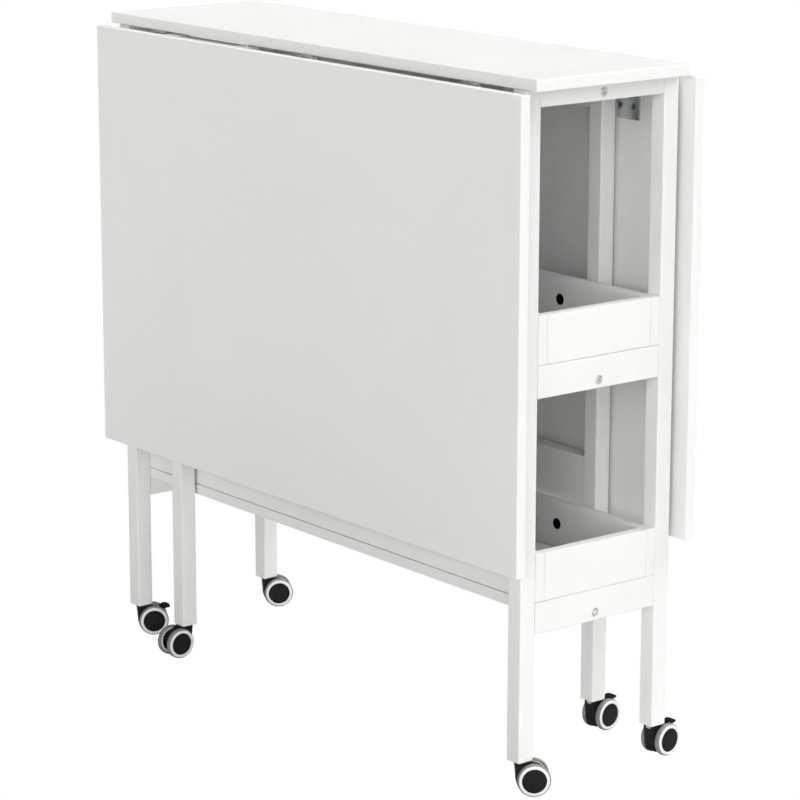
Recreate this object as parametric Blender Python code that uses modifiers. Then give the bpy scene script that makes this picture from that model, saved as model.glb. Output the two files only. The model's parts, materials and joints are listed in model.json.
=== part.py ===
"""Gateleg table on casters, folded.

A narrow fixed top stands on two end frames that carry two full-length trays. A drop leaf hangs from each
long edge of the top, and behind each leaf a gate with its own leg is stored in line with the posts.
Metres, +Z up. X runs along the table, the front leaf is on the -Y side, and the origin is on the floor
under the middle of the top. The rear half is the front half turned by half a turn about the Z axis.
"""

import math

import bmesh
import bpy
from mathutils import Matrix, Vector

# Driving dimensions
LENGTH = 0.746
TOP_WIDTH = 0.204
HEIGHT = 0.740
LEAF_DEPTH = 0.486
SHEET = 0.012
FRAME_LENGTH = 0.7136
POST = 0.0195
LEG_BOTTOM = 0.0362
GAP = 0.0003

# End frames and trays, as heights above the floor
TOP_RAIL_LOW = 0.7100
TRAY_FLOORS = {"upper": 0.4505, "lower": 0.2045}
TRAY_RAIL_HEIGHT = 0.0335
TRAY_SIDE_HEIGHT = 0.0510
TRAY_HOLE_RADIUS = 0.0063
TRAY_HOLE_X = 0.215
TRAY_HOLE_RISE = 0.0265
BOLT_BORE_RADIUS = 0.0030
BOLT_HEAD_RADIUS = 0.0047
BOLT_HEAD_DEPTH = 0.0030
BOLT_THREAD_RADIUS = 0.0022
BOLT_RISE = 0.0085
POST_ROUNDING = 0.0012

# Leaf hinges: the pin lies under the joint between the top and its leaf
PIN_OUT = 0.00325
PIN_DROP = 0.00475
LEAF_SETBACK = 0.00275
HINGE_X = (-0.275, 0.0, 0.275)
HINGE_WIDTH = 0.0334
HINGE_PLATE = 0.0012
HINGE_REACH = 0.0510
KNUCKLE_RADIUS = 0.0034
HINGE_PIN_RADIUS = 0.0016

# Gates: each has a leg at one end and a stile on pivots at the other
GATE_PROUD = 0.0045
GATE_LEG_X = 0.2480
GATE_STILE_X = 0.113
GATE_LEG_TOP = 0.7262
GATE_STILE_BOTTOM = 0.2370
GATE_RAILS = {"top": (0.6820, 0.7250), "lower": (0.2530, 0.3070)}
GATE_RAIL_DEPTH = 0.0160
PIVOT_RADIUS = 0.0030
PIVOT_PLATE = 0.0015

# Twin-wheel casters, measured from the swivel axis along the trail
WHEEL_RADIUS = 0.0175
WHEEL_INNER = 0.0071
WHEEL_OUTER = 0.0140
CASTER_TRAIL = 0.0140
CASTER_BODY_WIDTH = 0.0132
AXLE_RADIUS = 0.0022
STEM_RADIUS = 0.0040
STEM_LENGTH = 0.0200
BRAKE_WIDTH = 0.0080
BRAKE_PIVOT = (0.0210, 0.0, 0.0270)

# Heights and depths that follow from those above
TOP_UNDERSIDE = HEIGHT - SHEET
HALF_FRAME_X = FRAME_LENGTH / 2
HALF_TOP_Y = TOP_WIDTH / 2
POST_X = HALF_FRAME_X - POST / 2
POST_Y = HALF_TOP_Y - POST / 2
TRAY_HALF_WIDTH = HALF_TOP_Y - POST - GAP
PIN_Y = HALF_TOP_Y + PIN_OUT
PIN_Z = TOP_UNDERSIDE - PIN_DROP
LEAF_TOP = PIN_Z + LEAF_SETBACK
LEAF_INNER = PIN_Y + PIN_DROP
GATE_Y = HALF_TOP_Y + GATE_PROUD - POST / 2

# (name, x, y, direction of the trail in degrees from +X, has a brake)
CASTERS = (
    ("right_front", POST_X, -POST_Y, 55.5, False),
    ("right_rear", POST_X, POST_Y, 95.0, True),
    ("left_front", -POST_X, -POST_Y, 61.5, True),
    ("left_rear", -POST_X, POST_Y, 61.5, False),
    ("front_gate", -GATE_LEG_X, -GATE_Y, 268.5, False),
    ("rear_gate", GATE_LEG_X, GATE_Y, 95.0, True),
)
SIDES = (("right", 1), ("left", -1))
FACES = (("front", -1), ("rear", 1))


def clear_scene():
    for obj in list(bpy.data.objects):
        bpy.data.objects.remove(obj, do_unlink=True)
    for collection in list(bpy.data.collections):
        bpy.data.collections.remove(collection)


def new_collection(name, hidden=False):
    collection = bpy.data.collections.new(name)
    bpy.context.scene.collection.children.link(collection)
    collection.hide_render = hidden
    return collection


def principled(name, colour, roughness, metallic=0.0):
    material = bpy.data.materials.new(name)
    material.use_nodes = True
    shader = material.node_tree.nodes["Principled BSDF"]
    shader.inputs["Base Color"].default_value = (*colour, 1.0)
    shader.inputs["Roughness"].default_value = roughness
    shader.inputs["Metallic"].default_value = metallic
    return material


clear_scene()
PARTS = new_collection("gateleg_table")
CUTTERS = new_collection("cutters", hidden=True)
WHITE = principled("white_satin_paint", (0.80, 0.80, 0.79), 0.42)
ZINC = principled("zinc_plated_steel", (0.62, 0.64, 0.63), 0.35, 1.0)
BLACK = principled("black_plastic", (0.012, 0.012, 0.013), 0.45)
GREY = principled("light_grey_tread", (0.62, 0.62, 0.61), 0.60)


def add_object(name, mesh, collection=PARTS, material=None):
    obj = bpy.data.objects.new(name, mesh)
    collection.objects.link(obj)
    if material:
        mesh.materials.append(material)
    if collection is CUTTERS:
        obj.hide_render = True
        obj.display_type = "WIRE"
    return obj


def set_origin(obj, point):
    """Moves an object's origin to a world point and leaves its shape where it is."""
    obj.data.transform(Matrix.Translation(obj.location - Vector(point)))
    obj.location = point


def add_box(name, low, high, material, bevel=0.0, segments=2):
    """A board or bar between two opposite corners, with its edges rounded by the bevel."""
    low, high = Vector(low), Vector(high)
    shape = bmesh.new()
    bmesh.ops.create_cube(shape, size=1.0)
    bmesh.ops.scale(shape, vec=high - low, verts=shape.verts)
    mesh = bpy.data.meshes.new(name)
    shape.to_mesh(mesh)
    shape.free()
    obj = add_object(name, mesh, material=material)
    obj.location = (low + high) / 2
    if bevel:
        rounding = obj.modifiers.new("rounded_edges", "BEVEL")
        rounding.width = bevel
        rounding.segments = segments
        rounding.limit_method = "ANGLE"
        mesh.shade_smooth()
        mesh.set_sharp_from_angle(angle=math.radians(50))
    return obj


def cylinder_mesh(name, radius, length, axis, sides):
    shape = bmesh.new()
    bmesh.ops.create_cone(
        shape, cap_ends=True, segments=sides, radius1=radius, radius2=radius, depth=length
    )
    turn = Vector((0, 0, 1)).rotation_difference(Vector(axis)).to_matrix()
    bmesh.ops.rotate(shape, matrix=turn, verts=shape.verts)
    mesh = bpy.data.meshes.new(name)
    shape.to_mesh(mesh)
    shape.free()
    mesh.shade_smooth()
    mesh.set_sharp_from_angle(angle=math.radians(40))
    return mesh


def add_tool(name, radius, length, axis, centre, sides=24):
    """A cylinder that cuts or joins: it is not a piece of the table."""
    tool = add_object(name, cylinder_mesh(name, radius, length, axis, sides), CUTTERS)
    tool.location = centre
    return tool


def combine(obj, tool, operation):
    boolean = obj.modifiers.new(f"{operation.lower()}_{tool.name}", "BOOLEAN")
    boolean.operation = operation
    boolean.object = tool


def bore(obj, name, radius, length, axis, centre, sides=24):
    combine(obj, add_tool(name, radius, length, axis, centre, sides), "DIFFERENCE")


def extruded(name, outline, width, collection=PARTS, material=None):
    """An outline in the XZ plane, given a width along Y and centred on it."""
    flat = bpy.data.curves.new(f"{name}_outline", "CURVE")
    flat.dimensions = "2D"
    flat.fill_mode = "BOTH"
    flat.extrude = width / 2
    spline = flat.splines.new("POLY")
    spline.points.add(len(outline) - 1)
    for point, (x, z) in zip(spline.points, outline):
        point.co = (x, z, 0, 1)
    spline.use_cyclic_u = True
    guide = bpy.data.objects.new(f"{name}_outline", flat)
    CUTTERS.objects.link(guide)
    bpy.context.view_layer.update()
    made = guide.evaluated_get(bpy.context.evaluated_depsgraph_get())
    mesh = bpy.data.meshes.new_from_object(made)
    bpy.data.objects.remove(guide)
    mesh.name = name
    mesh.transform(Matrix.Rotation(math.radians(90), 4, "X"))
    shape = bmesh.new()
    shape.from_mesh(mesh)
    bmesh.ops.remove_doubles(shape, verts=shape.verts, dist=0.00001)
    bmesh.ops.recalc_face_normals(shape, faces=shape.faces)
    shape.to_mesh(mesh)
    shape.free()
    mesh.materials.clear()
    mesh.shade_smooth()
    mesh.set_sharp_from_angle(angle=math.radians(40))
    return add_object(name, mesh, collection, material)


def arc(centre_x, centre_z, radius, start, stop, steps):
    """Points of an arc in the XZ plane, with its angles in degrees from +X towards +Z."""
    angles = [math.radians(start + (stop - start) * i / steps) for i in range(steps + 1)]
    return [(centre_x + radius * math.cos(a), centre_z + radius * math.sin(a)) for a in angles]


def span(face, near, far):
    """Low and high Y between two distances from the middle, on the side that face names."""
    return sorted((face * near, face * far))


def add_top():
    top = add_box(
        "top_board",
        (-LENGTH / 2, -HALF_TOP_Y, TOP_UNDERSIDE),
        (LENGTH / 2, HALF_TOP_Y, HEIGHT),
        WHITE,
        bevel=0.0010,
    )
    for name, face in FACES:
        centre = (face * GATE_STILE_X, face * GATE_Y, TOP_UNDERSIDE)
        bore(top, f"{name}_pivot_socket", PIVOT_RADIUS + GAP, 0.016, (0, 0, 1), centre)


def add_leaf(name, face):
    low_y, high_y = span(face, LEAF_INNER, LEAF_INNER + SHEET)
    leaf = add_box(
        f"{name}_leaf",
        (-LENGTH / 2, low_y, LEAF_TOP - LEAF_DEPTH),
        (LENGTH / 2, high_y, LEAF_TOP),
        WHITE,
        bevel=0.0010,
    )
    set_origin(leaf, (0, face * PIN_Y, PIN_Z))


def add_leaf_hinge(name, x, face):
    """The leaf's half of a hinge: its plate, its two knuckles and the pin, joined in one piece."""
    low_y, high_y = span(face, LEAF_INNER - GAP - HINGE_PLATE, LEAF_INNER - GAP)
    plate = add_box(
        name,
        (x - HINGE_WIDTH / 2, low_y, PIN_Z - HINGE_REACH),
        (x + HINGE_WIDTH / 2, high_y, PIN_Z),
        ZINC,
    )
    centre = (x, face * PIN_Y, PIN_Z)
    pin = add_tool(f"{name}_pin", HINGE_PIN_RADIUS, HINGE_WIDTH, (1, 0, 0), centre, 16)
    combine(plate, pin, "UNION")
    third = HINGE_WIDTH / 3
    for side in (-1, 1):
        centre = (x + side * third, face * PIN_Y, PIN_Z)
        knuckle = add_tool(
            f"{name}_knuckle_{side}", KNUCKLE_RADIUS, third - 2 * GAP, (1, 0, 0), centre
        )
        combine(plate, knuckle, "UNION")
    notch = add_box(
        f"{name}_notch",
        (x - third / 2 - GAP, low_y - 0.001, PIN_Z - KNUCKLE_RADIUS - 0.001),
        (x + third / 2 + GAP, high_y + 0.001, PIN_Z + 0.001),
        None,
    )
    PARTS.objects.unlink(notch)
    CUTTERS.objects.link(notch)
    notch.hide_render = True
    notch.display_type = "WIRE"
    combine(plate, notch, "DIFFERENCE")
    set_origin(plate, (0, face * PIN_Y, PIN_Z))


def add_end_frame(side_name, side):
    for face_name, face in FACES:
        post = add_box(
            f"{side_name}_{face_name}_post",
            (side * POST_X - POST / 2, face * POST_Y - POST / 2, LEG_BOTTOM),
            (side * POST_X + POST / 2, face * POST_Y + POST / 2, TOP_UNDERSIDE - GAP),
            WHITE,
            bevel=POST_ROUNDING,
        )
        foot = (side * POST_X, face * POST_Y, LEG_BOTTOM)
        bore(post, f"{post.name}_bore", STEM_RADIUS + GAP, 0.042, (0, 0, 1), foot)
    rails = {"top": (TOP_RAIL_LOW, TOP_UNDERSIDE - GAP)}
    for tray, rail in (("upper", "middle"), ("lower", "bottom")):
        rails[rail] = (TRAY_FLOORS[tray] - TRAY_RAIL_HEIGHT, TRAY_FLOORS[tray])
    for rail_name, (low, high) in rails.items():
        rail = add_box(
            f"{side_name}_{rail_name}_rail",
            (side * POST_X - POST / 2, -TRAY_HALF_WIDTH, low),
            (side * POST_X + POST / 2, TRAY_HALF_WIDTH, high),
            WHITE,
            bevel=0.0009,
        )
        centre = (side * POST_X, 0, low + BOLT_RISE)
        bore(rail, f"{rail.name}_bore", BOLT_BORE_RADIUS, 0.03, (1, 0, 0), centre, 20)
        centre = (side * HALF_FRAME_X, 0, low + BOLT_RISE)
        bore(
            rail, f"{rail.name}_head_bore", BOLT_HEAD_RADIUS, 2 * BOLT_HEAD_DEPTH, (1, 0, 0), centre
        )


def add_stretcher(name, low, high):
    """A bar between the end frames' rails, which the bolts through their middles hold."""
    half_x = HALF_FRAME_X - POST - GAP
    stretcher = add_box(
        name, (-half_x, -POST / 2, low), (half_x, POST / 2, high), WHITE, bevel=0.0009
    )
    for side_name, side in SIDES:
        centre = (side * half_x, 0, low - GAP + BOLT_RISE)
        bore(stretcher, f"{name}_{side_name}_bore", BOLT_THREAD_RADIUS, 0.044, (1, 0, 0), centre, 16)


def add_tray(name, floor):
    """A panel between the end frames, two long side boards that stand on it, and two end boards."""
    inner_x = HALF_FRAME_X - POST - GAP
    side_top = floor + TRAY_SIDE_HEIGHT
    add_box(
        f"{name}_tray_panel",
        (-inner_x, -TRAY_HALF_WIDTH, floor - GAP - SHEET),
        (inner_x, TRAY_HALF_WIDTH, floor - GAP),
        WHITE,
        bevel=0.0006,
        segments=1,
    )
    for face_name, face in FACES:
        low_y, high_y = span(face, TRAY_HALF_WIDTH - SHEET, TRAY_HALF_WIDTH)
        board = add_box(
            f"{name}_tray_{face_name}_side",
            (-HALF_FRAME_X, low_y, floor + GAP),
            (HALF_FRAME_X, high_y, side_top),
            WHITE,
            bevel=0.0009,
        )
        for side_name, side in SIDES:
            bore(
                board,
                f"{board.name}_{side_name}_hole",
                TRAY_HOLE_RADIUS,
                0.03,
                (0, 1, 0),
                (side * TRAY_HOLE_X, face * (TRAY_HALF_WIDTH - SHEET / 2), floor + TRAY_HOLE_RISE),
                32,
            )
    for side_name, side in SIDES:
        low_x, high_x = span(side, HALF_FRAME_X - SHEET, HALF_FRAME_X)
        half_y = TRAY_HALF_WIDTH - SHEET - GAP
        add_box(
            f"{name}_tray_{side_name}_end",
            (low_x, -half_y, floor + GAP),
            (high_x, half_y, side_top),
            WHITE,
            bevel=0.0009,
        )


def add_gate(name, face):
    """A leg and a stile joined by two rails. Its pivots are in line with the middle of the stile."""
    leg_x, stile_x = face * GATE_LEG_X, face * GATE_STILE_X
    y = face * GATE_Y
    pivot = (stile_x, y, GATE_STILE_BOTTOM)
    uprights = {
        "leg": (leg_x, LEG_BOTTOM, GATE_LEG_TOP),
        "stile": (stile_x, GATE_STILE_BOTTOM, GATE_LEG_TOP),
    }
    for upright_name, (x, low, high) in uprights.items():
        upright = add_box(
            f"{name}_gate_{upright_name}",
            (x - POST / 2, y - POST / 2, low),
            (x + POST / 2, y + POST / 2, high),
            WHITE,
            bevel=POST_ROUNDING,
        )
        if upright_name == "leg":
            bore(upright, f"{name}_leg_bore", STEM_RADIUS + GAP, 0.042, (0, 0, 1), (x, y, low))
        else:
            for end_name, z in (("bottom", low), ("top", high)):
                hole = f"{name}_stile_{end_name}_bore"
                bore(upright, hole, PIVOT_RADIUS + GAP, 0.028, (0, 0, 1), (x, y, z))
        set_origin(upright, pivot)
    low_x, high_x = sorted((leg_x, stile_x))
    for rail_name, (low, high) in GATE_RAILS.items():
        rail = add_box(
            f"{name}_gate_{rail_name}_rail",
            (low_x + POST / 2 + GAP, y - GATE_RAIL_DEPTH / 2, low),
            (high_x - POST / 2 - GAP, y + GATE_RAIL_DEPTH / 2, high),
            WHITE,
            bevel=0.0009,
        )
        set_origin(rail, pivot)


def add_gate_pivots(name, face):
    """A pin in the underside of the top, and an angle bracket with a pin on the lower tray's side."""
    x, y = face * GATE_STILE_X, face * GATE_Y
    low, high = TOP_UNDERSIDE - 0.0135, TOP_UNDERSIDE + 0.0075
    mesh = cylinder_mesh(f"{name}_gate_top_pivot", PIVOT_RADIUS, high - low, (0, 0, 1), 24)
    pin = add_object(f"{name}_gate_top_pivot", mesh, material=ZINC)
    pin.location = (x, y, (low + high) / 2)

    plate_inner = TRAY_HALF_WIDTH + GAP
    shelf_top = GATE_STILE_BOTTOM - GAP
    outline = (
        (plate_inner, TRAY_FLOORS["lower"] + TRAY_SIDE_HEIGHT - 0.003),
        (plate_inner + PIVOT_PLATE, TRAY_FLOORS["lower"] + TRAY_SIDE_HEIGHT - 0.003),
        (plate_inner + PIVOT_PLATE, shelf_top),
        (GATE_Y + 0.008, shelf_top),
        (GATE_Y + 0.008, shelf_top - PIVOT_PLATE),
        (plate_inner, shelf_top - PIVOT_PLATE),
    )
    bracket = extruded(f"{name}_gate_bottom_pivot", outline, 0.018, material=ZINC)
    bracket.data.transform(Matrix.Rotation(math.radians(face * 90), 4, "Z"))
    bracket.location = (x, 0, 0)
    centre = (x, y, shelf_top + 0.0055)
    peg = add_tool(f"{name}_bottom_peg", PIVOT_RADIUS, 0.0125, (0, 0, 1), centre)
    combine(bracket, peg, "UNION")


def caster_outline():
    """The side of the black body between the wheels, from the swivel axis along the trail."""
    front, hood = WHEEL_RADIUS + 0.0005, WHEEL_RADIUS - 0.0032
    return [
        (0.0080, LEG_BOTTOM - GAP),
        (-0.0058, LEG_BOTTOM - GAP),
        *arc(CASTER_TRAIL, WHEEL_RADIUS, front, 176, 222, 4),
        *arc(CASTER_TRAIL, WHEEL_RADIUS, 0.0100, 238, 380, 8),
        *arc(CASTER_TRAIL, WHEEL_RADIUS, hood, 20, 86, 8),
    ]


def brake_outline():
    """The brake tab: a foot in the body's notch and a hooked end that a toe can reach."""
    return [
        (0.0190, 0.0252),
        (0.0226, 0.0252),
        (0.0234, 0.0274),
        (0.0256, 0.0292),
        (0.0290, 0.0304),
        (0.0326, 0.0312),
        (0.0340, 0.0324),
        (0.0322, 0.0342),
        (0.0286, 0.0356),
        (0.0250, 0.0352),
        (0.0220, 0.0332),
        (0.0202, 0.0302),
    ]


def place_on_caster(obj, x, y, trail):
    """Turns an object that is modelled with the trail along +X, and moves it to its caster."""
    obj.matrix_world = (
        Matrix.Translation((x, y, 0))
        @ Matrix.Rotation(math.radians(trail), 4, "Z")
        @ Matrix.Translation(obj.location)
    )


def place_caster_piece(obj, x, y, trail, pivot):
    """Puts a piece on its caster, with its origin on its joint's axis."""
    set_origin(obj, pivot)
    place_on_caster(obj, x, y, trail)


def add_caster(name, x, y, trail, braked):
    axle = (CASTER_TRAIL, 0, WHEEL_RADIUS)
    body = extruded(
        f"{name}_caster_body", caster_outline(), CASTER_BODY_WIDTH, material=BLACK
    )
    stem_centre = (0, 0, LEG_BOTTOM - 0.004 + STEM_LENGTH / 2)
    stem = add_tool(f"{name}_stem", STEM_RADIUS, STEM_LENGTH + 0.006, (0, 0, 1), stem_centre)
    combine(body, stem, "UNION")
    hole = add_tool(f"{name}_axle_hole", AXLE_RADIUS + GAP, 0.03, (0, 1, 0), axle)
    combine(body, hole, "DIFFERENCE")
    tools = [stem, hole]
    if braked:
        slot = extruded(
            f"{name}_brake_slot",
            [(0.0176, 0.0236), (0.0270, 0.0200), (0.0360, 0.0380), (0.0176, 0.0380)],
            BRAKE_WIDTH + 0.0010,
            collection=CUTTERS,
        )
        combine(body, slot, "DIFFERENCE")
        pin_hole = add_tool(f"{name}_brake_pin_hole", 0.0014, 0.0104, (0, 1, 0), BRAKE_PIVOT, 16)
        combine(body, pin_hole, "DIFFERENCE")
        lever = extruded(f"{name}_caster_brake", brake_outline(), BRAKE_WIDTH, material=BLACK)
        pin = add_tool(f"{name}_brake_pin", 0.0011, 0.0098, (0, 1, 0), BRAKE_PIVOT, 16)
        combine(lever, pin, "UNION")
        place_caster_piece(lever, x, y, trail, BRAKE_PIVOT)
        tools += [slot, pin_hole, pin]
    place_caster_piece(body, x, y, trail, (0, 0, 0))

    wheels = add_wheel_pair(f"{name}_caster_wheels", axle)
    place_caster_piece(wheels, x, y, trail, axle)
    tools += [CUTTERS.objects[f"{name}_caster_wheels_{end}"] for end in ("far", "axle")]
    for tool in tools:
        place_on_caster(tool, x, y, trail)


def add_wheel(name, side, axle, collection, material=None):
    """A wheel with a crowned tread and a shallow dish in its outer face: a profile turned about Y."""
    profile = (
        (0.0, WHEEL_OUTER - 0.0006),
        (0.0127, WHEEL_OUTER - 0.0006),
        (0.0135, WHEEL_OUTER),
        (WHEEL_RADIUS - 0.0018, WHEEL_OUTER - 0.0006),
        (WHEEL_RADIUS, WHEEL_OUTER - 0.0030),
        (WHEEL_RADIUS, WHEEL_INNER + 0.0012),
        (WHEEL_RADIUS - 0.0012, WHEEL_INNER),
        (0.0, WHEEL_INNER),
    )
    points = [(radius, side * along, 0) for radius, along in profile]
    if side < 0:
        points.reverse()
    mesh = bpy.data.meshes.new(name)
    mesh.from_pydata(points, [(i, i + 1) for i in range(len(points) - 1)], [])
    wheel = add_object(name, mesh, collection, material)
    wheel.location = axle
    turned = wheel.modifiers.new("turned", "SCREW")
    turned.axis = "Y"
    turned.steps = turned.render_steps = 36
    turned.use_merge_vertices = True
    turned.merge_threshold = 0.00001
    return wheel


def add_wheel_pair(name, axle):
    """Two wheels on one axle, joined in one piece."""
    wheels = add_wheel(name, -1, axle, PARTS, GREY)
    far = add_wheel(f"{name}_far", 1, axle, CUTTERS)
    length = 2 * WHEEL_INNER + 0.004
    shaft = add_tool(f"{name}_axle", AXLE_RADIUS, length, (0, 1, 0), axle, 20)
    combine(wheels, shaft, "UNION")
    combine(wheels, far, "UNION")
    return wheels


def main():
    add_top()
    for name, face in FACES:
        add_leaf(name, face)
        for place, x in zip(("left", "middle", "right"), HINGE_X):
            add_leaf_hinge(f"{name}_leaf_hinge_{place}", x, face)
    for name, side in SIDES:
        add_end_frame(name, side)
    add_stretcher("top_stretcher", TOP_RAIL_LOW + GAP, TOP_UNDERSIDE - GAP)
    for tray, stretcher in (("upper", "middle"), ("lower", "bottom")):
        floor = TRAY_FLOORS[tray]
        add_tray(tray, floor)
        low = floor - TRAY_RAIL_HEIGHT + GAP
        add_stretcher(f"{stretcher}_stretcher", low, floor - SHEET - 2 * GAP)
    for name, face in FACES:
        add_gate(name, face)
        add_gate_pivots(name, face)
    for name, x, y, trail, braked in CASTERS:
        add_caster(name, x, y, trail, braked)


main()
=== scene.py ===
"""Looks of a folded gateleg table on casters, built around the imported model.

Metres, +Z up, X along the table, the front leaf on the -Y side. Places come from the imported
model's boxes and joints. Each board, post and rail is made again with finely rounded edges and
real holes, and the hinges, bolts, pivots, hole liners and casters are made in detail.
"""

import json
import math

import bmesh
import bpy
from mathutils import Matrix, Vector

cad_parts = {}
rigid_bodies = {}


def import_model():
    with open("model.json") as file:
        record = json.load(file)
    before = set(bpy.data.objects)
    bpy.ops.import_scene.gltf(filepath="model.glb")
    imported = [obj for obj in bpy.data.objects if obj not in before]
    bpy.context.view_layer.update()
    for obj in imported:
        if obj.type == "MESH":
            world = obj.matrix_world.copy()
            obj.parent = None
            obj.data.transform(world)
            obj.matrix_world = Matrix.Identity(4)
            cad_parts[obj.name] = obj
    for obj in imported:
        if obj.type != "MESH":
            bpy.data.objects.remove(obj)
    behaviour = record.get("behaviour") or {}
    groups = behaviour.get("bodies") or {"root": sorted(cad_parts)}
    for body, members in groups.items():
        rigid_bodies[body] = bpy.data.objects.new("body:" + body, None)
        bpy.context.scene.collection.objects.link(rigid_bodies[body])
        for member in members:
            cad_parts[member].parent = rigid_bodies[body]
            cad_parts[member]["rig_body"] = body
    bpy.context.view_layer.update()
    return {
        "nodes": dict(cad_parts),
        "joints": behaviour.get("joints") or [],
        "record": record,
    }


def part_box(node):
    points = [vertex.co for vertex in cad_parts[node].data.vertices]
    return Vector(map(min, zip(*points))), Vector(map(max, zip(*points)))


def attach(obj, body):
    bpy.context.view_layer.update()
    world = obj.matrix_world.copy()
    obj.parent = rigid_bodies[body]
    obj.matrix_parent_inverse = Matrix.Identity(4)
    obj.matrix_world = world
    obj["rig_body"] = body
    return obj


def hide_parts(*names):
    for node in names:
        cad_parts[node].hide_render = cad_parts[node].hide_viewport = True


# Wood: radius of the rounded edges, by the first of these words that is in the node's name
ROUNDING = (
    ("post", 0.0013),
    ("leg", 0.0013),
    ("stile", 0.0013),
    ("panel", 0.0006),
    ("board", 0.0010),
    ("leaf", 0.0010),
    ("", 0.0009),
)
LAMINATED = ("board", "leaf", "tray")
HOLE_ROUNDING = 0.00025

# Holes: a bore is its radius and depth, and a rise is measured from the piece's lower edge
DRILL_LEAD = 0.002
STEM_BORE = (0.0043, 0.021)
PIVOT_BORE = (0.0033, 0.014)
SOCKET_DEPTH = 0.008
TRAY_HOLE_RADIUS = 0.0063
TRAY_HOLE_X = 0.215
TRAY_HOLE_RISE = 0.0262
BOLT_RISE = 0.0085
BOLT_BORE_RADIUS = 0.0030
BOLT_SEAT_RADIUS = 0.0047
BOLT_SEAT_DEPTH = 0.0030
BOLT_SOCKET = (0.00235, 0.0032)

# Hinges. A leaf plate's screws are given along the hinge and down from its pin, and those of the
# fixed plate from its middle and from its far and near edges
KNUCKLE_RADIUS = 0.0034
PIN_RADIUS = 0.0016
PLATE = 0.0012
PLATE_EDGE = 0.0002
PLATE_STEP = 0.0010
STEP_START = 0.24
LEAF_PLATE_CORNER = 0.002
LEAF_SCREWS = ((-0.0123, 0.037), (0.0090, 0.037), (-0.0123, 0.014))
FIXED_PLATE_REACH = 0.039
FIXED_PLATE_CORNER = 0.003
FIXED_SCREW_X = 0.0105
FIXED_SCREW_FAR = 0.0075
FIXED_SCREW_NEAR = 0.0095

# Screws: the turns of their crosses are in degrees
SCREW_RADIUS = 0.0030
SCREW_SEAT = 0.0036
SCREW_SINK = 0.0002
FIRST_TURN = 20
NEXT_TURN = 67

# The brackets that carry the gates
BRACKET_SHEET = 0.0015
BRACKET_DROP = 0.003
BRACKET_SCREW_X = 0.0048
BRACKET_SCREW_SIZE = 0.8
PEG_RADIUS = 0.0030
PEG_REACH = 0.0115

# Casters, with the trail along +X and the axle along Y. A wheel's inner and outer sides are
# given by their distance from the caster's middle
HOUSING_WIDTH = 0.0132
HOUSING_CORE_RADIUS = 0.0100
AXLE_HOLE_RADIUS = 0.0025
WHEEL_INNER = 0.0071
WHEEL_OUTER = 0.0140
HUB_RADIUS = 0.0129
RIM_RADIUS = 0.0161
BRAKE_WIDTH = 0.0080
BRAKE_SLOT_GAP = 0.0005
RIB_COUNT = 3
RIB_RADIUS = 0.00035

CLEARANCE = 0.0003
UPRIGHT = Matrix.Rotation(math.radians(90), 4, "X")

# Camera: where it stands, its bearing from -Y, its height angle and its small roll
CAMERA_PLACE = (2.6563, -2.0864, 1.1411)
CAMERA_BEARING = 51.509
CAMERA_RISE = 13.381
CAMERA_ROLL = 0.109
CAMERA_LENS = 141.27

# Studio
STUDIO_RADIUS = 13
BOUNCE_ALBEDO = 0.60
SKY_STRENGTH = 0.10

# Soft lights: name, the direction they shine from, strength and spread in degrees
SUNS = (
    ("rear_above", (0.10, 0.60, 0.79), 3.25, 46),
    ("right_above", (0.70, 0.0, 0.70), 1.20, 50),
    ("front", (0.50, -0.85, 0.20), 1.60, 40),
    ("right", (0.92, -0.38, 0.04), 0.65, 36),
)

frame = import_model()
NODES = frame["nodes"]
JOINTS = {joint["name"]: joint for joint in frame["joints"]}


# Materials


# Most of a noise's values lie between these two
NOISE_RANGE = (0.3, 0.7)


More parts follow.
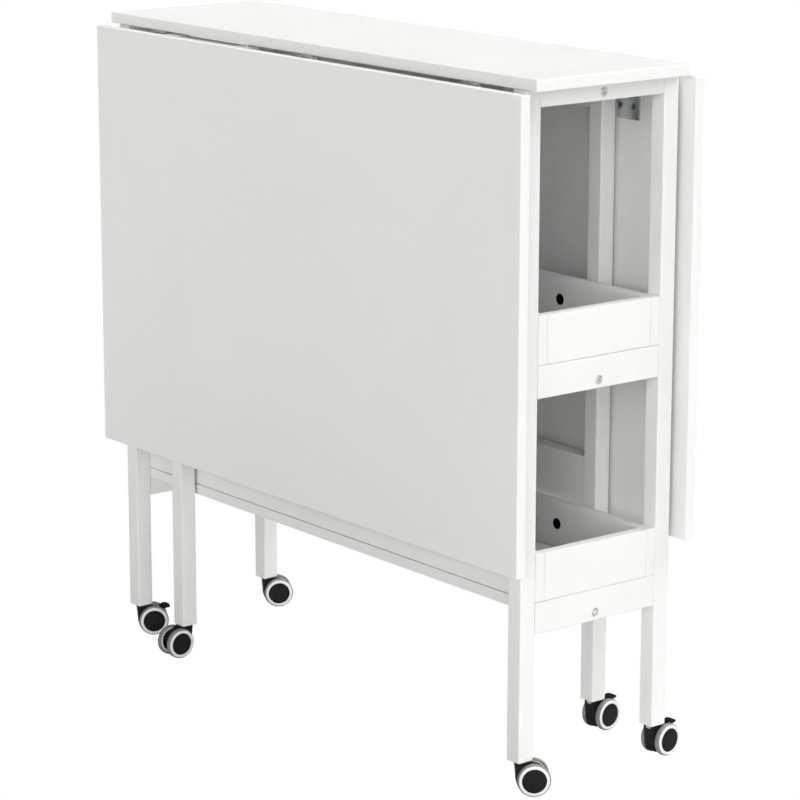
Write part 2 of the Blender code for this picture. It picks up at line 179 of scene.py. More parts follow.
class Finish:
    """A Principled material with helpers that add procedural detail to it."""

    def __init__(self, name, colour, roughness, metallic=0.0):
        self.material = bpy.data.materials.new(name)
        self.material.use_nodes = True
        self.nodes = self.material.node_tree.nodes
        self.links = self.material.node_tree.links
        self.shader = self.nodes["Principled BSDF"]
        self.shader.inputs["Base Color"].default_value = (*colour, 1.0)
        self.shader.inputs["Roughness"].default_value = roughness
        self.shader.inputs["Metallic"].default_value = metallic
        self.place = self.nodes.new("ShaderNodeTexCoord").outputs["Object"]
        self.normal = None

    def noise(self, scale, detail=2.0, stretch=(1, 1, 1)):
        """Fractal noise in the piece's own space, squeezed along an axis to draw it out."""
        squeezed = self.nodes.new("ShaderNodeMapping")
        squeezed.inputs["Scale"].default_value = stretch
        self.links.new(self.place, squeezed.inputs["Vector"])
        texture = self.nodes.new("ShaderNodeTexNoise")
        texture.inputs["Scale"].default_value = scale
        texture.inputs["Detail"].default_value = detail
        self.links.new(squeezed.outputs["Vector"], texture.inputs["Vector"])
        return texture.outputs["Fac"]

    def vary_roughness(self, factor, low, high):
        spread = self.nodes.new("ShaderNodeMapRange")
        spread.inputs["From Min"].default_value = NOISE_RANGE[0]
        spread.inputs["From Max"].default_value = NOISE_RANGE[1]
        spread.inputs["To Min"].default_value = low
        spread.inputs["To Max"].default_value = high
        self.links.new(factor, spread.inputs["Value"])
        self.links.new(spread.outputs["Result"], self.shader.inputs["Roughness"])

    def vary_colour(self, factor, dark, light):
        ramp = self.nodes.new("ShaderNodeValToRGB")
        stops = ramp.color_ramp.elements
        for stop, position, colour in zip(stops, NOISE_RANGE, (dark, light)):
            stop.position = position
            stop.color = (*colour, 1.0)
        self.links.new(factor, ramp.inputs["Fac"])
        self.links.new(ramp.outputs["Color"], self.shader.inputs["Base Color"])

    def bump(self, factor, strength, distance):
        """Adds relief on top of any relief that the finish already has."""
        relief = self.nodes.new("ShaderNodeBump")
        relief.inputs["Strength"].default_value = strength
        relief.inputs["Distance"].default_value = distance
        self.links.new(factor, relief.inputs["Height"])
        if self.normal:
            self.links.new(self.normal, relief.inputs["Normal"])
        self.normal = relief.outputs["Normal"]
        self.links.new(self.normal, self.shader.inputs["Normal"])


def laminate_finish():
    """White melamine on the boards: a very fine pebble and an even satin gloss."""
    finish = Finish("white_laminate", (0.80, 0.80, 0.795), 0.46)
    finish.shader.inputs["Specular IOR Level"].default_value = 0.22
    finish.vary_colour(finish.noise(5, 3), (0.793, 0.793, 0.787), (0.812, 0.812, 0.807))
    finish.vary_roughness(finish.noise(14, 4), 0.42, 0.52)
    finish.bump(finish.noise(1500, 3), 0.22, 0.00005)
    finish.bump(finish.noise(60, 2), 0.05, 0.0003)
    return finish.material


def paint_finish():
    """White paint sprayed on wood: orange peel over faint grain that runs up the posts."""
    finish = Finish("white_satin_paint", (0.80, 0.80, 0.79), 0.44)
    finish.shader.inputs["Specular IOR Level"].default_value = 0.35
    finish.vary_colour(finish.noise(18, 4), (0.785, 0.786, 0.778), (0.810, 0.810, 0.803))
    finish.vary_roughness(finish.noise(40, 3), 0.35, 0.50)
    finish.bump(finish.noise(320, 3, (1.0, 1.0, 0.06)), 0.12, 0.00008)
    finish.bump(finish.noise(750, 2), 0.25, 0.00005)
    return finish.material


def zinc_finish():
    """Zinc plate with a cool passivated tint, cloudy and faintly brushed."""
    finish = Finish("zinc_plated_steel", (0.52, 0.57, 0.55), 0.34, 1.0)
    finish.vary_colour(finish.noise(160, 4), (0.45, 0.51, 0.49), (0.60, 0.64, 0.62))
    finish.vary_roughness(finish.noise(300, 3, (0.2, 1.0, 1.0)), 0.26, 0.42)
    finish.bump(finish.noise(900, 3, (0.08, 1.0, 1.0)), 0.20, 0.00004)
    return finish.material


def bolt_finish():
    """Bright nickel-plated steel for the bolts."""
    finish = Finish("bright_plated_steel", (0.78, 0.78, 0.77), 0.24, 1.0)
    finish.vary_roughness(finish.noise(700, 3), 0.18, 0.32)
    finish.bump(finish.noise(1600, 2), 0.12, 0.00003)
    return finish.material


def screw_finish():
    """Dull zinc on the hinges' small screws, darker than the plates."""
    finish = Finish("dull_screw_zinc", (0.19, 0.21, 0.20), 0.42, 1.0)
    finish.vary_roughness(finish.noise(700, 3), 0.34, 0.50)
    finish.bump(finish.noise(1600, 2), 0.12, 0.00003)
    return finish.material


def plastic_finish():
    """Black moulded nylon with a fine spark-eroded grain."""
    finish = Finish("black_moulded_plastic", (0.006, 0.006, 0.0065), 0.5)
    finish.shader.inputs["Specular IOR Level"].default_value = 0.18
    finish.vary_colour(finish.noise(500, 3), (0.004, 0.004, 0.0045), (0.010, 0.010, 0.0105))
    finish.vary_roughness(finish.noise(900, 2), 0.42, 0.60)
    finish.bump(finish.noise(2400, 2), 0.35, 0.00005)
    return finish.material


def rim_finish():
    """White moulded rims, very slightly grey from handling."""
    finish = Finish("white_moulded_rim", (0.80, 0.80, 0.80), 0.40)
    finish.vary_colour(finish.noise(260, 4), (0.76, 0.76, 0.755), (0.83, 0.83, 0.825))
    finish.vary_roughness(finish.noise(450, 3), 0.34, 0.48)
    finish.bump(finish.noise(1500, 2), 0.10, 0.00003)
    return finish.material


def tread_finish():
    """Grey polyurethane, scuffed along the tread."""
    finish = Finish("grey_tyre", (0.22, 0.22, 0.216), 0.58)
    finish.vary_colour(finish.noise(320, 4), (0.18, 0.18, 0.177), (0.26, 0.26, 0.256))
    finish.vary_roughness(finish.noise(450, 3), 0.50, 0.68)
    finish.bump(finish.noise(1900, 2), 0.22, 0.00005)
    return finish.material


LAMINATE = laminate_finish()
PAINT = paint_finish()
ZINC = zinc_finish()
BRIGHT = bolt_finish()
SCREW_ZINC = screw_finish()
PLASTIC = plastic_finish()
RIM = rim_finish()
TREAD = tread_finish()


# Shapes


def object_from(shape, name):
    """Makes a bmesh an object in the scene, with its faces pointing out."""
    bmesh.ops.recalc_face_normals(shape, faces=shape.faces)
    mesh = bpy.data.meshes.new(name)
    shape.to_mesh(mesh)
    shape.free()
    obj = bpy.data.objects.new(name, mesh)
    bpy.context.scene.collection.objects.link(obj)
    return obj


def block(name, low, high, rounding=0.0, segments=4):
    """A box between two corners, with every edge rounded if a rounding is given."""
    low, high = Vector(low), Vector(high)
    shape = bmesh.new()
    bmesh.ops.create_cube(shape, size=1.0)
    bmesh.ops.scale(shape, vec=high - low, verts=shape.verts)
    bmesh.ops.translate(shape, vec=(low + high) / 2, verts=shape.verts)
    if rounding:
        bmesh.ops.bevel(
            shape, geom=shape.edges, offset=rounding, segments=segments, profile=0.5, affect="EDGES"
        )
    return object_from(shape, name)


def rod(name, radius, ends, sides=48):
    """A plain cylinder between two points."""
    start, end = (Vector(point) for point in ends)
    shape = bmesh.new()
    bmesh.ops.create_cone(
        shape,
        cap_ends=True,
        segments=sides,
        radius1=radius,
        radius2=radius,
        depth=(end - start).length,
    )
    turn = Vector((0, 0, 1)).rotation_difference(end - start).to_matrix()
    bmesh.ops.rotate(shape, matrix=turn, verts=shape.verts)
    bmesh.ops.translate(shape, vec=(start + end) / 2, verts=shape.verts)
    return object_from(shape, name)


def turned(name, profile, place, axis, steps=64):
    """A profile of (radius, height) points turned about an axis that starts at a place."""
    shape = bmesh.new()
    points = [shape.verts.new((radius, 0, height)) for radius, height in profile]
    edges = [shape.edges.new(pair) for pair in zip(points, points[1:])]
    if min(profile[0][0], profile[-1][0]) > 0:
        edges.append(shape.edges.new((points[-1], points[0])))
    bmesh.ops.spin(
        shape, geom=points + edges, axis=(0, 0, 1), cent=(0, 0, 0), angle=math.tau, steps=steps
    )
    bmesh.ops.remove_doubles(shape, verts=shape.verts, dist=0.000001)
    turn = Vector((0, 0, 1)).rotation_difference(Vector(axis)).to_matrix()
    bmesh.ops.rotate(shape, matrix=turn, verts=shape.verts)
    bmesh.ops.translate(shape, vec=place, verts=shape.verts)
    return object_from(shape, name)


def sheet_shape(name, outline, thickness, turn=Matrix.Identity(4)):
    """An outline in the XY plane given a thickness in +Z, then turned into place."""
    shape = bmesh.new()
    face = shape.faces.new([shape.verts.new((x, y, 0)) for x, y in outline])
    raised = bmesh.ops.extrude_face_region(shape, geom=[face])["geom"]
    corners = [item for item in raised if isinstance(item, bmesh.types.BMVert)]
    bmesh.ops.translate(shape, vec=(0, 0, thickness), verts=corners)
    bmesh.ops.transform(shape, matrix=turn, verts=shape.verts)
    return object_from(shape, name)


def arc(centre, radius, start, stop, steps):
    """Points of an arc, with its angles in degrees."""
    angles = [math.radians(start + (stop - start) * i / steps) for i in range(steps + 1)]
    return [(centre[0] + radius * math.cos(a), centre[1] + radius * math.sin(a)) for a in angles]


def bake(obj):
    """Puts the result of an object's modifiers in its mesh."""
    bpy.context.view_layer.update()
    evaluated = obj.evaluated_get(bpy.context.evaluated_depsgraph_get())
    mesh = bpy.data.meshes.new_from_object(evaluated)
    obj.modifiers.clear()
    obj.data = mesh
    return obj


def combine(obj, tools, operation="DIFFERENCE"):
    """Cuts the tools out of an object, or joins them to it, and removes them."""
    for tool in tools:
        step = obj.modifiers.new(tool.name, "BOOLEAN")
        step.operation = operation
        step.object = tool
    bake(obj)
    for tool in tools:
        bpy.data.objects.remove(tool)
    return obj


def soften(obj, width, segments=2, angle=50):
    """Rounds the sharp edges that are left and gives flat faces flat shading."""
    rounding = obj.modifiers.new("rounding", "BEVEL")
    rounding.width = width
    rounding.segments = segments
    rounding.limit_method = "ANGLE"
    rounding.angle_limit = math.radians(angle)
    obj.data.shade_smooth()
    obj.modifiers.new("flat_faces", "WEIGHTED_NORMAL").keep_sharp = True
    return bake(obj)


def smooth(obj, angle=35):
    """Smooth shading on a turned piece, apart from its sharp edges."""
    obj.data.shade_smooth()
    obj.data.set_sharp_from_angle(angle=math.radians(angle))
    return obj


def dress(obj, material, body, *nodes):
    """Gives a finished piece its material and body, and hides the nodes it stands for."""
    obj.data.materials.clear()
    obj.data.materials.append(material)
    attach(obj, body)
    if nodes:
        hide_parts(*nodes)
    return obj


def joined(name, pieces):
    """One mesh object of several pieces that don't need to be fused."""
    shape = bmesh.new()
    for piece in pieces:
        start = len(shape.verts)
        shape.from_mesh(piece.data)
        shape.verts.ensure_lookup_table()
        bmesh.ops.transform(shape, matrix=piece.matrix_world, verts=shape.verts[start:])
        bpy.data.objects.remove(piece)
    mesh = bpy.data.meshes.new(name)
    shape.to_mesh(mesh)
    shape.free()
    obj = bpy.data.objects.new(name, mesh)
    bpy.context.scene.collection.objects.link(obj)
    return obj


# Wood


def drill(place, direction, radius, depth, sides=48):
    """A cutter that goes into a face from a little above it."""
    place, direction = Vector(place), Vector(direction)
    return rod("drill", radius, (place - direction * DRILL_LEAD, place + direction * depth), sides)


def face_of(name):
    """-1 for a piece of the front, on the -Y side, and 1 for one of the rear."""
    return -1 if "front" in name else 1


def side_of(name):
    """1 for a piece of the right end, at +X, and -1 for one of the left."""
    return 1 if "right" in name else -1


def wood_holes(name, low, high):
    """The drills for a node's holes, each placed from the node's own box."""
    middle = (low + high) / 2
    thickness = high - low
    if name.endswith(("post", "gate_leg")):
        return [drill((middle.x, middle.y, low.z), (0, 0, 1), *STEM_BORE)]
    if name.endswith("stile"):
        return [
            drill((middle.x, middle.y, low.z), (0, 0, 1), *PIVOT_BORE),
            drill((middle.x, middle.y, high.z), (0, 0, -1), *PIVOT_BORE),
        ]
    if name == "top_board":
        sockets = [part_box(f"{row}_gate_top_pivot") for row in ("front", "rear")]
        places = [(corner_a + corner_b) / 2 for corner_a, corner_b in sockets]
        radius = PIVOT_BORE[0]
        return [drill((p.x, p.y, low.z), (0, 0, 1), radius, SOCKET_DEPTH) for p in places]
    if name.startswith(("left", "right")) and name.endswith("rail"):
        side = side_of(name)
        outer = high.x if side > 0 else low.x
        seat = (outer, 0, low.z + BOLT_RISE)
        return [
            drill(seat, (-side, 0, 0), BOLT_BORE_RADIUS, thickness.x + DRILL_LEAD),
            drill(seat, (-side, 0, 0), BOLT_SEAT_RADIUS, BOLT_SEAT_DEPTH),
        ]
    if "tray" in name and name.endswith(("front_side", "rear_side")):
        depth = thickness.y + DRILL_LEAD
        places = [(x, low.y, low.z + TRAY_HOLE_RISE) for x in (-TRAY_HOLE_X, TRAY_HOLE_X)]
        return [drill(place, (0, 1, 0), TRAY_HOLE_RADIUS, depth) for place in places]
    return []


def build_wood():
    """Every wooden piece, in its node's box, with its holes drilled and its edges rounded."""
    slots = {part["node"]: part["material_slot"] for part in frame["record"]["subparts"]}
    for name in sorted(NODES):
        if slots[name] != "white_paint":
            continue
        low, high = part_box(name)
        rounding = next(radius for word, radius in ROUNDING if word in name)
        piece = block(f"{name}_finished", low, high, rounding)
        drills = wood_holes(name, low, high)
        if drills:
            combine(piece, drills)
        soften(piece, HOLE_ROUNDING)
        laminated = any(word in name for word in LAMINATED)
        dress(piece, LAMINATE if laminated else PAINT, NODES[name]["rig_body"], name)


def build_hole_liners():
    """A black plastic cup in each hole of the trays' sides, closed towards the outside."""
    for tray in ("upper", "lower"):
        for row in ("front", "rear"):
            low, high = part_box(f"{tray}_tray_{row}_side")
            face = face_of(row)
            inner = low.y if face > 0 else high.y
            for side, x in (("left", -TRAY_HOLE_X), ("right", TRAY_HOLE_X)):
                radius = TRAY_HOLE_RADIUS - 0.0001
                depth = high.y - low.y - 0.0008
                profile = (
                    (0.0, depth - 0.001),
                    (radius - 0.0010, depth - 0.001),
                    (radius - 0.0008, 0.0006),
                    (radius - 0.0004, 0.0001),
                    (radius, 0.0006),
                    (radius, depth),
                    (0.0, depth),
                )
                place = (x, inner, low.z + TRAY_HOLE_RISE)
                name = f"{tray}_tray_{row}_{side}_hole_liner"
                liner = turned(name, profile, place, (0, face, 0))
                dress(smooth(liner), PLASTIC, "frame")


# Bolts, screws and hinges


def build_bolts():
    """A socket-head bolt through the middle of each end rail, sunk level with the paint."""
    for side_name, side in (("left", -1), ("right", 1)):
        for rail in ("top", "middle", "bottom"):
            low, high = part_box(f"{side_name}_{rail}_rail")
            outer = high.x if side > 0 else low.x
            radius = BOLT_SEAT_RADIUS - 0.0004
            profile = (
                (0.0, 0.0001),
                (radius - 0.0009, 0.0001),
                (radius - 0.0003, -0.0002),
                (radius, -0.0009),
                (radius, -0.0028),
                (BOLT_BORE_RADIUS - 0.0004, -0.0029),
                (BOLT_BORE_RADIUS - 0.0004, -0.0190),
                (0.0, -0.0194),
            )
            centre = Vector((outer, 0, low.z + BOLT_RISE))
            bolt = turned(f"{side_name}_{rail}_bolt", profile, centre, (side, 0, 0))
            above = centre + Vector((side * 0.001, 0, 0))
            combine(bolt, [drill(above, (-side, 0, 0), *BOLT_SOCKET, sides=6)])
            dress(soften(bolt, 0.00012, 2, 40), BRIGHT, "frame")


def screw_mesh():
    """A countersunk screw with a cross recess, its head's rim at height 0 and its top up."""
    profile = (
        (0.0, 0.00052),
        (0.0012, 0.00046),
        (0.0022, 0.00026),
        (SCREW_RADIUS - 0.0002, 0.0),
        (SCREW_RADIUS, -0.0002),
        (0.0013, -0.0017),
        (0.0011, -0.0080),
        (0.0, -0.0086),
    )
    screw = turned("screw", profile, (0, 0, 0), (0, 0, 1), 40)
    arms = [
        block("arm", (-length, -width, -0.0011), (length, width, 0.002))
        for length, width in ((0.0017, 0.0004), (0.0004, 0.0017))
    ]
    combine(screw, arms)
    mesh = soften(screw, 0.00008, 1, 45).data
    bpy.data.objects.remove(screw)
    return mesh


SCREW = screw_mesh()


def screws(name, places, direction, body, size=1.0):
    """One piece that holds a plate's screws, each turned a little differently."""
    turn = Vector((0, 0, 1)).rotation_difference(Vector(direction)).to_matrix().to_4x4()
    copies = []
    for number, place in enumerate(places):
        copy = bpy.data.objects.new(f"{name}_{number}", SCREW)
        bpy.context.scene.collection.objects.link(copy)
        spin = Matrix.Rotation(math.radians(FIRST_TURN + NEXT_TURN * number), 4, "Z")
        copy.matrix_world = Matrix.Translation(place) @ turn @ spin @ Matrix.Scale(size, 4)
        copies.append(copy)
    bpy.context.view_layer.update()
    dress(joined(name, copies), SCREW_ZINC, body)


def knuckle(name, x, width, pin):
    """A rolled eye of a hinge with a small chamfer at each end."""
    profile = (
        (PIN_RADIUS, 0.0),
        (KNUCKLE_RADIUS - 0.0003, 0.0),
        (KNUCKLE_RADIUS, 0.0003),
        (KNUCKLE_RADIUS, width - 0.0003),
        (KNUCKLE_RADIUS - 0.0003, width),
        (PIN_RADIUS, width),
    )
    return turned(name, profile, (x - width / 2, pin.y, pin.z), (1, 0, 0), 40)


def build_leaf_hinge(name):
    """The leaf's half rides on the leaf, and the half under the top rides on the frame."""
    face = face_of(name)
    leaf = f"{'front' if face < 0 else 'rear'}_leaf"
    low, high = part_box(name)
    pin = Vector(JOINTS[f"{leaf}_hinge"]["pos_m"])
    x = (low.x + high.x) / 2
    half = (high.x - low.x) / 2
    third = 2 * half / 3
    outer = max(abs(low.y), abs(high.y))

    # The plate stands in XZ: its outline's second axis is height
    corner = LEAF_PLATE_CORNER
    notch = third / 2 + CLEARANCE
    notch_floor = pin.z - KNUCKLE_RADIUS - 0.001
    top = pin.z + 0.001
    outline = [
        *arc((x - half + corner, low.z + corner), corner, 180, 270, 5),
        *arc((x + half - corner, low.z + corner), corner, 270, 360, 5),
        (x + half, top),
        (x + notch, top),
        (x + notch, notch_floor),
        (x - notch, notch_floor),
        (x - notch, top),
        (x - half, top),
    ]
    inner = outer - PLATE
    plate = sheet_shape(f"{name}_plate", outline, PLATE, UPRIGHT)
    plate.data.transform(Matrix.Translation((0, outer if face > 0 else -inner, 0)))
    seats = [(x + face * along, pin.z - drop) for along, drop in LEAF_SCREWS]
    drills = [
        drill((seat_x, face * inner, z), (0, face, 0), SCREW_SEAT, PLATE + 0.001)
        for seat_x, z in seats
    ]
    raised_x = sorted((x + face * half * STEP_START, x + face * half))
    raised_y = sorted((face * (inner - PLATE_STEP), face * (inner + 0.0002)))
    step = block(
        f"{name}_step",
        (raised_x[0], raised_y[0], low.z + 0.0004),
        (raised_x[1], raised_y[1], pin.z - KNUCKLE_RADIUS - 0.003),
        0.0003,
        2,
    )
    combine(plate, [step], "UNION")
    combine(plate, drills)
    soften(plate, PLATE_EDGE, 2, 40)
    eyes = [
        smooth(knuckle(f"{name}_eye", x + side * third, third - 2 * CLEARANCE, pin))
        for side in (-1, 1)
    ]
    dress(joined(f"{name}_leaf_plate", [plate, *eyes]), ZINC, leaf, name)
    length = 2 * half + 0.0012
    profile = (
        (0.0, -0.0006),
        (0.0014, -0.0005),
        (0.0021, 0.0),
        (0.0021, 0.0005),
        (PIN_RADIUS - 0.0001, 0.0006),
        (PIN_RADIUS - 0.0001, length - 0.0006),
        (0.0021, length - 0.0005),
        (0.0021, length),
        (0.0014, length + 0.0005),
        (0.0, length + 0.0006),
    )
    start = (x - length / 2, pin.y, pin.z)
    dress(smooth(turned(f"{name}_pin", profile, start, (1, 0, 0), 32)), BRIGHT, leaf)
    # A screw that goes through the raised part sits that much higher
    heads = [
        (seat_x, face * (inner + SCREW_SINK), z)
        if (seat_x - x) * face < half * STEP_START
        else (seat_x, face * (inner - PLATE_STEP + SCREW_SINK), z)
        for seat_x, z in seats
    ]
    screws(f"{name}_leaf_screws", heads, (0, -face, 0), leaf)
    build_fixed_plate(name, x, half, pin, face)


def build_fixed_plate(name, x, half, pin, face):
    """The half that is screwed under the top, with the hinge's middle eye."""
    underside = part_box("top_board")[0].z
    third = 2 * half / 3
    far = abs(pin.y) - FIXED_PLATE_REACH
    near = abs(pin.y) - KNUCKLE_RADIUS - CLEARANCE
    corner = FIXED_PLATE_CORNER
    outline = [
        *arc((x - half + corner, face * (far + corner)), corner, 180, 180 + face * 90, 5),
        *arc((x + half - corner, face * (far + corner)), corner, -face * 90, 0, 5),
        (x + half, face * near),
        (x + third / 2 - CLEARANCE, face * near),
        (x + third / 2 - CLEARANCE, pin.y),
        (x - third / 2 + CLEARANCE, pin.y),
        (x - third / 2 + CLEARANCE, face * near),
        (x - half, face * near),
    ]
    bottom = underside - CLEARANCE / 2 - PLATE
    plate = sheet_shape(f"{name}_fixed", outline, PLATE, Matrix.Translation((0, 0, bottom)))
    places = [
        (x - FIXED_SCREW_X, face * (far + FIXED_SCREW_FAR)),
        (x + FIXED_SCREW_X, face * (far + FIXED_SCREW_FAR)),
        (x, face * (near - FIXED_SCREW_NEAR)),
    ]
    drills = [drill((px, py, bottom), (0, 0, 1), SCREW_SEAT, PLATE + 0.001) for px, py in places]
    combine(plate, drills)
    soften(plate, PLATE_EDGE, 2, 40)
    eye = smooth(knuckle(f"{name}_middle_eye", x, third - 2 * CLEARANCE, pin))
    dress(joined(f"{name}_top_plate", [plate, eye]), ZINC, "frame")
    heads = [(px, py, bottom + SCREW_SINK) for px, py in places]
    screws(f"{name}_top_screws", heads, (0, 0, -1), "frame")


def build_gate_pivots(row):
    """A pin up into the top, and an angle bracket on the tray's side with a peg into the stile."""
    face = face_of(row)
    name = f"{row}_gate_top_pivot"
    low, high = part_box(name)
    middle = (low + high) / 2
    radius = (high.x - low.x) / 2
    length = high.z - low.z
    profile = (
        (0.0, 0.0),
        (radius - 0.0006, 0.0),
        (radius, 0.0006),
        (radius, length - 0.0006),
        (radius - 0.0006, length),
        (0.0, length),
    )
    pin = turned(f"{name}_pin", profile, (middle.x, middle.y, low.z), (0, 0, 1), 40)
    dress(smooth(pin), BRIGHT, "frame", name)

    name = f"{row}_gate_bottom_pivot"
    low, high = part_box(name)
    x = (low.x + high.x) / 2
    near, far = sorted((abs(low.y), abs(high.y)))
    stile_low, stile_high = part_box(f"{row}_gate_stile")
    shelf = stile_low.z - CLEARANCE
    plate_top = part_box(f"lower_tray_{row}_side")[1].z - BRACKET_DROP
    sheet = BRACKET_SHEET
    outline = [
        (near, plate_top),
        (near, shelf - sheet + 0.0015),
        *arc((near + 0.0015, shelf - sheet + 0.0015), 0.0015, 180, 270, 4),
        (far, shelf - sheet),
        (far, shelf),
        (near + sheet + 0.0010, shelf),
        *arc((near + sheet + 0.0010, shelf + 0.0010), 0.0010, 270, 180, 4),
        (near + sheet, plate_top),
    ]
    width = high.x - low.x
    # The outline's first axis becomes the distance from the middle, and its second the height
    turn = Matrix(((0, 0, 1, x - width / 2), (face, 0, 0, 0), (0, 1, 0, 0), (0, 0, 0, 1)))
    bracket = sheet_shape(f"{name}_angle", outline, width, turn)
    soften(bracket, 0.0003, 2, 40)
    centre = (stile_low + stile_high) / 2
    peg_height = min(high.z, stile_low.z + PEG_REACH) - shelf
    profile = (
        (0.0, -0.0005),
        (PEG_RADIUS, -0.0005),
        (PEG_RADIUS, peg_height - 0.0006),
        (PEG_RADIUS - 0.0006, peg_height),
        (0.0, peg_height),
    )
    peg = smooth(turned(f"{name}_peg", profile, (centre.x, centre.y, shelf), (0, 0, 1), 40))
    dress(joined(f"{name}_bracket", [bracket, peg]), ZINC, "frame", name)
    height = (shelf + plate_top) / 2 + 0.0008
    head_y = face * (near + sheet + 0.0001)
    places = [(x + side * BRACKET_SCREW_X, head_y, height) for side in (-1, 1)]
    screws(f"{name}_screws", places, (0, face, 0), "frame", BRACKET_SCREW_SIZE)


# Casters


def housing_outline(trail, axle, top):
    """The black body's side: its front follows the wheels, and its back is a hood inside them."""
    centre = (trail, axle)
    return [
        (0.0080, top),
        (-0.0058, top),
        *arc(centre, axle + 0.0005, 176, 222, 12),
        *arc(centre, HOUSING_CORE_RADIUS, 238, 380, 24),
        *arc(centre, axle - 0.0032, 20, 86, 18),
    ]


def brake_outline():
    """The brake tab: a foot in the housing's notch, a neck, and a paddle that a toe can reach."""
    return [
        (0.0190, 0.0252),
        (0.0226, 0.0252),
        (0.0229, 0.0264),
        (0.0234, 0.0274),
        (0.0243, 0.0284),
        (0.0256, 0.0292),
        (0.0272, 0.0299),
        (0.0290, 0.0304),
        (0.0326, 0.0312),
        (0.0336, 0.0316),
        (0.0340, 0.0324),
        (0.0334, 0.0334),
        (0.0322, 0.0342),
        (0.0304, 0.0350),
        (0.0286, 0.0356),
        (0.0268, 0.0356),
        (0.0250, 0.0352),
        (0.0234, 0.0344),
        (0.0220, 0.0332),
        (0.0210, 0.0318),
        (0.0202, 0.0302),
    ]


def build_wheel(side, radius):
    """A tyre on a white rim, and a black wheel centre whose outer face is a slightly domed disc."""
    shoulder = arc((radius - 0.0022, WHEEL_OUTER - 0.0032), 0.0022, 0, 62, 6)
    inner_edge = arc((radius - 0.0012, WHEEL_INNER + 0.0012), 0.0012, -75, 0, 4)
    tyre = [
        (RIM_RADIUS - 0.0008, WHEEL_INNER + 0.0002),
        *inner_edge,
        *shoulder,
        (RIM_RADIUS - 0.0002, WHEEL_OUTER - 0.0012),
        (RIM_RADIUS - 0.0008, WHEEL_OUTER - 0.0016),
    ]
    rim = [
        (HUB_RADIUS, WHEEL_INNER + 0.0006),
        (HUB_RADIUS + 0.0003, WHEEL_INNER + 0.0001),
        (RIM_RADIUS - 0.0011, WHEEL_INNER + 0.0001),
        (RIM_RADIUS - 0.0007, WHEEL_INNER + 0.0005),
        (RIM_RADIUS - 0.0007, WHEEL_OUTER - 0.0020),
        (RIM_RADIUS, WHEEL_OUTER - 0.0010),
        (RIM_RADIUS - 0.0002, WHEEL_OUTER - 0.0006),
        (RIM_RADIUS - 0.0009, WHEEL_OUTER - 0.0002),
        (HUB_RADIUS + 0.0008, WHEEL_OUTER),
        (HUB_RADIUS + 0.0003, WHEEL_OUTER - 0.0001),
        (HUB_RADIUS, WHEEL_OUTER - 0.0006),
    ]
    hub = [
        (0.0, WHEEL_OUTER),
        (0.0040, WHEEL_OUTER - 0.00004),
        (0.0080, WHEEL_OUTER - 0.00016),
        (HUB_RADIUS - 0.0010, WHEEL_OUTER - 0.0004),
        (HUB_RADIUS - 0.0004, WHEEL_OUTER - 0.0006),
        (HUB_RADIUS - 0.00005, WHEEL_OUTER - 0.0011),
        (HUB_RADIUS - 0.00005, WHEEL_INNER + 0.0006),
        (HUB_RADIUS - 0.0012, WHEEL_INNER + 0.0003),
        (HUB_RADIUS - 0.0016, WHEEL_INNER + 0.0022),
        (0.0048, WHEEL_INNER + 0.0030),
        (0.0040, WHEEL_INNER),
        (0.0, WHEEL_INNER),
    ]
    return [
        smooth(turned(part, profile, (0, 0, 0), (0, side, 0), 96))
        for part, profile in (("tyre", tyre), ("rim", rim), ("hub", hub))
    ]


def build_wheels(name, axle_place):
    """Both wheels of a caster, as one piece each of tyres, rims and hubs."""
    wheels = [build_wheel(side, axle_place[2]) for side in (-1, 1)]
    for part in (part for wheel in wheels for part in wheel):
        part.matrix_world = Matrix.Translation(axle_place)
    bpy.context.view_layer.update()
    return [
        joined(f"{name}_caster_{parts}", [wheel[number] for wheel in wheels])
        for number, parts in enumerate(("tyres", "rims", "hubs"))
    ]


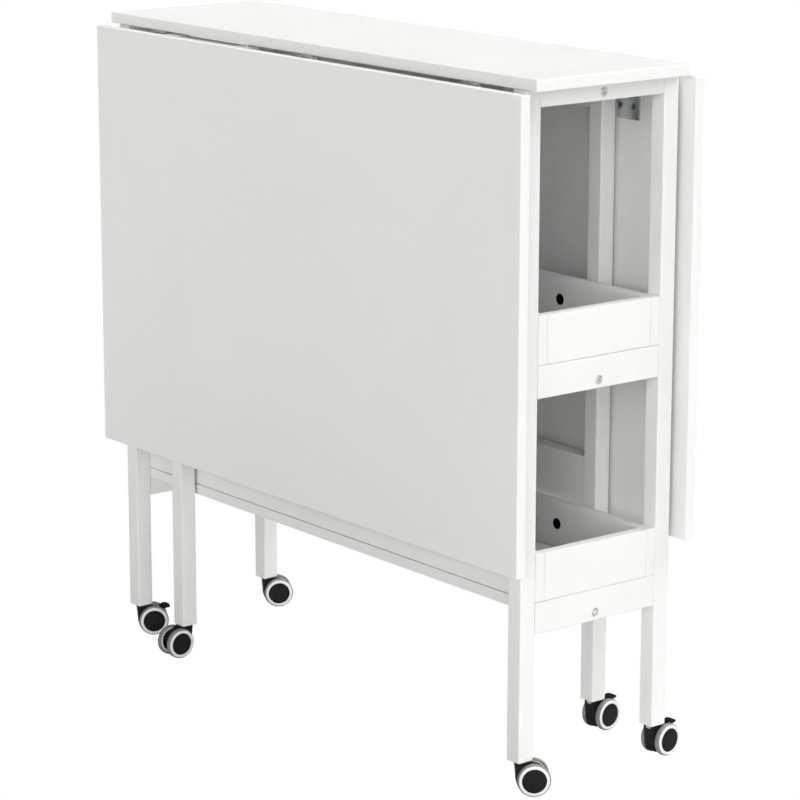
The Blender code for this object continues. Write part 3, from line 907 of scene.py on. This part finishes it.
def build_caster(name):
    """A twin-wheel caster, made with its trail along +X and then turned onto its leg."""
    stem = Vector(JOINTS[f"{name}_caster_swivel"]["pos_m"])
    axle = Vector(JOINTS[f"{name}_wheel_roll"]["pos_m"])
    reach = (axle - stem).to_2d()
    trail = reach.length
    place = Matrix.Translation((stem.x, stem.y, 0)) @ Matrix.Rotation(
        math.atan2(reach.y, reach.x), 4, "Z"
    )
    braked = f"{name}_caster_brake" in NODES
    top = stem.z - CLEARANCE
    upright = Matrix.Translation((0, HOUSING_WIDTH / 2, 0)) @ UPRIGHT
    outline = housing_outline(trail, axle.z, top)
    housing = sheet_shape(f"{name}_caster_housing", outline, HOUSING_WIDTH, upright)
    axle_ends = ((trail, -0.01, axle.z), (trail, 0.01, axle.z))
    cutters = [rod("axle_hole", AXLE_HOLE_RADIUS, axle_ends)]
    if braked:
        slot_half = BRAKE_WIDTH / 2 + BRAKE_SLOT_GAP
        cutters.append(
            block("brake_slot", (0.0176, -slot_half, 0.0236), (0.0420, slot_half, 0.0400))
        )
    combine(housing, cutters)
    soften(housing, 0.0006, 3, 28)
    stem_profile = (
        (0.0, -0.0040),
        (0.0062, -0.0036),
        (0.0066, -0.0004),
        (0.0062, -0.0001),
        (0.0040, 0.0),
        (0.0040, 0.0155),
        (0.0034, 0.0163),
        (0.0, 0.0165),
    )
    stem_pin = smooth(turned(f"{name}_caster_stem", stem_profile, (0, 0, top), (0, 0, 1), 48))
    axle_profile = (
        (0.0, -0.0072),
        (0.0020, -0.0072),
        (0.0022, -0.0070),
        (0.0022, 0.0070),
        (0.0020, 0.0072),
        (0.0, 0.0072),
    )
    axle_place = (trail, 0, axle.z)
    pin = smooth(turned(f"{name}_caster_axle", axle_profile, axle_place, (0, 1, 0), 32))
    tyres, rims, hubs = build_wheels(name, axle_place)
    pieces = [
        (housing, PLASTIC, f"{name}_caster", [f"{name}_caster_body"]),
        (stem_pin, ZINC, f"{name}_caster", []),
        (pin, BRIGHT, f"{name}_wheels", []),
        (tyres, TREAD, f"{name}_wheels", [f"{name}_caster_wheels"]),
        (rims, RIM, f"{name}_wheels", []),
        (hubs, PLASTIC, f"{name}_wheels", []),
    ]
    if braked:
        pieces.append((build_brake(name), PLASTIC, f"{name}_brake", [f"{name}_caster_brake"]))
    for piece, material, body, nodes in pieces:
        piece.data.transform(place)
        dress(piece, material, body, *nodes)


def build_brake(name):
    """The brake tab with grip ribs across its top."""
    upright = Matrix.Translation((0, BRAKE_WIDTH / 2, 0)) @ UPRIGHT
    tab = sheet_shape(f"{name}_caster_brake_tab", brake_outline(), BRAKE_WIDTH, upright)
    rib_half = BRAKE_WIDTH / 2 - 0.0012
    ribs = []
    for step in range(RIB_COUNT):
        along = 0.0274 + 0.0013 * step
        height = 0.0357 - 0.00035 * step
        ends = ((along, -rib_half, height), (along, rib_half, height))
        ribs.append(rod("rib", RIB_RADIUS, ends, 12))
    combine(tab, ribs, "UNION")
    return soften(tab, 0.00035, 2, 38)


# Studio


def studio_white(name, albedo, glow):
    """A matt white for the studio, which may also give light of its own."""
    white = Finish(name, (albedo, albedo, albedo), 0.9)
    white.shader.inputs["Specular IOR Level"].default_value = 0.0
    white.shader.inputs["Emission Color"].default_value = (1, 1, 1, 1)
    white.shader.inputs["Emission Strength"].default_value = glow
    return white.material


def build_studio():
    """A glowing white floor and dome that only the camera sees, a duller floor that only the
    light sees, an even sky and the soft lights."""
    shape = bmesh.new()
    bmesh.ops.create_uvsphere(shape, u_segments=32, v_segments=16, radius=STUDIO_RADIUS)
    for vertex in shape.verts:
        vertex.co.z = max(vertex.co.z, 0.0)
    backdrop = object_from(shape, "studio_backdrop")
    backdrop.data.materials.append(studio_white("studio_glow", 0.0, 1.0))
    backdrop.visible_diffuse = False
    backdrop.visible_glossy = False
    backdrop.visible_shadow = False

    shape = bmesh.new()
    bmesh.ops.create_grid(shape, x_segments=1, y_segments=1, size=STUDIO_RADIUS)
    floor = object_from(shape, "studio_floor")
    floor.data.materials.append(studio_white("studio_white", BOUNCE_ALBEDO, 0.0))
    floor.visible_camera = False

    world = bpy.data.worlds.new("studio_sky")
    bpy.context.scene.world = world
    world.use_nodes = True
    sky = world.node_tree.nodes["Background"]
    sky.inputs["Color"].default_value = (1, 1, 1, 1)
    sky.inputs["Strength"].default_value = SKY_STRENGTH
    for name, towards, strength, spread in SUNS:
        light = bpy.data.lights.new(name, "SUN")
        light.energy = strength
        light.angle = math.radians(spread)
        lamp = bpy.data.objects.new(name, light)
        bpy.context.scene.collection.objects.link(lamp)
        lamp.rotation_euler = Vector(towards).to_track_quat("Z", "Y").to_euler()
    bpy.context.scene.view_settings.view_transform = "Standard"


def build_camera():
    """A long lens, turned to its bearing and height angle and rolled a little."""
    lens = bpy.data.cameras.new("camera")
    lens.lens = CAMERA_LENS
    lens.sensor_width = 36
    lens.clip_end = 50
    camera = bpy.data.objects.new("camera", lens)
    bpy.context.scene.collection.objects.link(camera)
    bearing, rise = math.radians(CAMERA_BEARING), math.radians(CAMERA_RISE)
    back = Vector(
        (
            math.sin(bearing) * math.cos(rise),
            -math.cos(bearing) * math.cos(rise),
            math.sin(rise),
        )
    )
    aim = (-back).to_track_quat("-Z", "Y").to_matrix().to_4x4()
    roll = Matrix.Rotation(math.radians(CAMERA_ROLL), 4, "Z")
    camera.matrix_world = Matrix.Translation(CAMERA_PLACE) @ aim @ roll
    bpy.context.scene.camera = camera


build_wood()
build_hole_liners()
build_bolts()
for hinge in sorted(node for node in NODES if "_leaf_hinge_" in node):
    build_leaf_hinge(hinge)
for gate_row in ("front", "rear"):
    build_gate_pivots(gate_row)
for joint_name in sorted(JOINTS):
    if joint_name.endswith("_caster_swivel"):
        build_caster(joint_name.removesuffix("_caster_swivel"))
build_studio()
build_camera()
